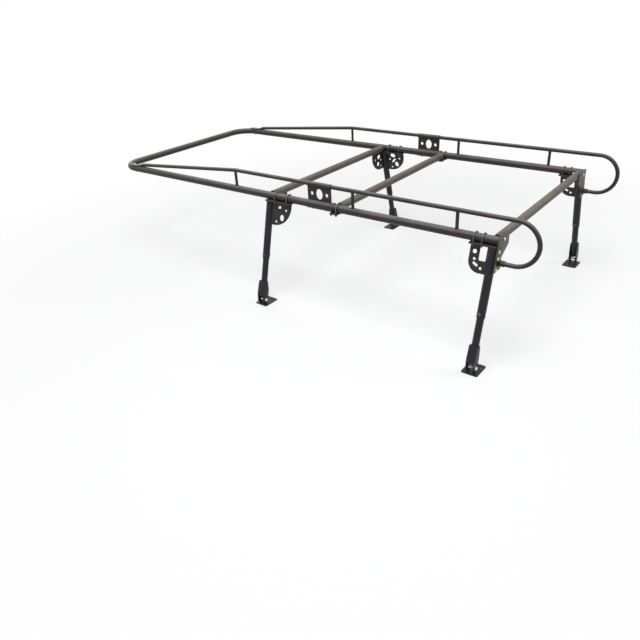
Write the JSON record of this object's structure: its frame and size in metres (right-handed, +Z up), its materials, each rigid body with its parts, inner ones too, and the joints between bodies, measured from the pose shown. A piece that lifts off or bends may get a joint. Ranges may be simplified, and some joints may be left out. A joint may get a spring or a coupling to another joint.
{
  "type": "truck ladder rack",
  "caption": "Round-tube ladder rack for a pickup with a cap: long front hoop, guard rails with rear loops, crossbars and telescoping legs on pivoting feet.",
  "frame": {"origin": "centre of the plan box, on the plane of the bed rails that the four feet stand on", "axes": "+X towards the tailgate, +Y to the passenger side, +Z up"},
  "size_m": [3.4157, 1.796, 0.8748],
  "materials": {
    "powder_coat": "satin black powder coat",
    "yellow_zinc": "yellow passivated zinc",
    "bright_zinc": "bright zinc",
    "black_zinc": "blackened zinc",
    "end_cap": "matt black"
  },
  "bodies": {
    "rack_frame": {"bar_bracket_rear_left": "powder_coat", "bar_bracket_rear_right": "powder_coat", "bar_end_bolts": "yellow_zinc", "bracket_bolts": "yellow_zinc", "bracket_nuts": "yellow_zinc", "cross_gusset_front_left": "powder_coat", "cross_gusset_front_right": "powder_coat", "crossbar_front": "powder_coat", "crossbar_rear": "powder_coat", "front_hoop": "powder_coat", "guard_end_bolts": "bright_zinc", "guard_posts": "powder_coat", "guard_rail_front_left": "powder_coat", "guard_rail_front_right": "powder_coat", "guard_rail_rear_left": "powder_coat", "guard_rail_rear_right": "powder_coat", "guard_sleeves": "powder_coat", "leg_lock_bolts": "black_zinc", "leg_upper_front_left": "powder_coat", "leg_upper_front_right": "powder_coat", "leg_upper_rear_left": "powder_coat", "leg_upper_rear_right": "powder_coat", "loop_sockets": "powder_coat", "rail_end_caps": "end_cap", "rail_sleeves": "powder_coat", "rail_ubolt_nuts": "black_zinc", "rail_ubolts": "black_zinc", "rear_rail_left": "powder_coat", "rear_rail_right": "powder_coat", "saddle_plates": "powder_coat", "side_gusset_front_left": "powder_coat", "side_gusset_front_right": "powder_coat", "side_gusset_rear_left": "powder_coat", "side_gusset_rear_right": "powder_coat", "splice_plate_left": "powder_coat", "splice_plate_right": "powder_coat", "splice_screws": "bright_zinc"},
    "lower_leg_front_left": {"leg_inner_front_left": "powder_coat", "foot_bracket_front_left": "powder_coat", "foot_bolt_front_left": "bright_zinc"},
    "foot_front_left": {"foot_base_front_left": "powder_coat"},
    "lower_leg_front_right": {"leg_inner_front_right": "powder_coat", "foot_bracket_front_right": "powder_coat", "foot_bolt_front_right": "bright_zinc"},
    "foot_front_right": {"foot_base_front_right": "powder_coat"},
    "lower_leg_rear_left": {"leg_inner_rear_left": "powder_coat", "foot_bracket_rear_left": "powder_coat", "foot_bolt_rear_left": "bright_zinc"},
    "foot_rear_left": {"foot_base_rear_left": "powder_coat"},
    "lower_leg_rear_right": {"leg_inner_rear_right": "powder_coat", "foot_bracket_rear_right": "powder_coat", "foot_bolt_rear_right": "bright_zinc"},
    "foot_rear_right": {"foot_base_rear_right": "powder_coat"},
    "middle_bar": {"crossbar_middle": "powder_coat", "mid_clamp_plates": "powder_coat", "mid_ubolts": "black_zinc", "mid_ubolt_nuts": "black_zinc"}
  },
  "joints": [
    {"name": "leg_slide_front_left", "type": "slide", "parent": "rack_frame", "child": "lower_leg_front_left", "axis": [0, -0.2477, -0.9688], "range_m": [0, 0.15]},
    {"name": "foot_pivot_front_left", "type": "hinge", "parent": "lower_leg_front_left", "child": "foot_front_left", "pos_m": [-0.10378, -0.87, 0.035], "axis": [1, 0, 0], "range_deg": [-15, 15]},
    {"name": "leg_slide_front_right", "type": "slide", "parent": "rack_frame", "child": "lower_leg_front_right", "axis": [0, 0.2477, -0.9688], "range_m": [0, 0.15]},
    {"name": "foot_pivot_front_right", "type": "hinge", "parent": "lower_leg_front_right", "child": "foot_front_right", "pos_m": [-0.10378, 0.87, 0.035], "axis": [1, 0, 0], "range_deg": [-15, 15]},
    {"name": "leg_slide_rear_left", "type": "slide", "parent": "rack_frame", "child": "lower_leg_rear_left", "axis": [0, -0.2477, -0.9688], "range_m": [0, 0.15]},
    {"name": "foot_pivot_rear_left", "type": "hinge", "parent": "lower_leg_rear_left", "child": "foot_rear_left", "pos_m": [1.46023, -0.87, 0.035], "axis": [1, 0, 0], "range_deg": [-15, 15]},
    {"name": "leg_slide_rear_right", "type": "slide", "parent": "rack_frame", "child": "lower_leg_rear_right", "axis": [0, 0.2477, -0.9688], "range_m": [0, 0.15]},
    {"name": "foot_pivot_rear_right", "type": "hinge", "parent": "lower_leg_rear_right", "child": "foot_rear_right", "pos_m": [1.46023, 0.87, 0.035], "axis": [1, 0, 0], "range_deg": [-15, 15]},
    {"name": "middle_bar_slide", "type": "slide", "parent": "rack_frame", "child": "middle_bar", "axis": [1, 0, 0], "range_m": [0, 0.08]}
  ]
}
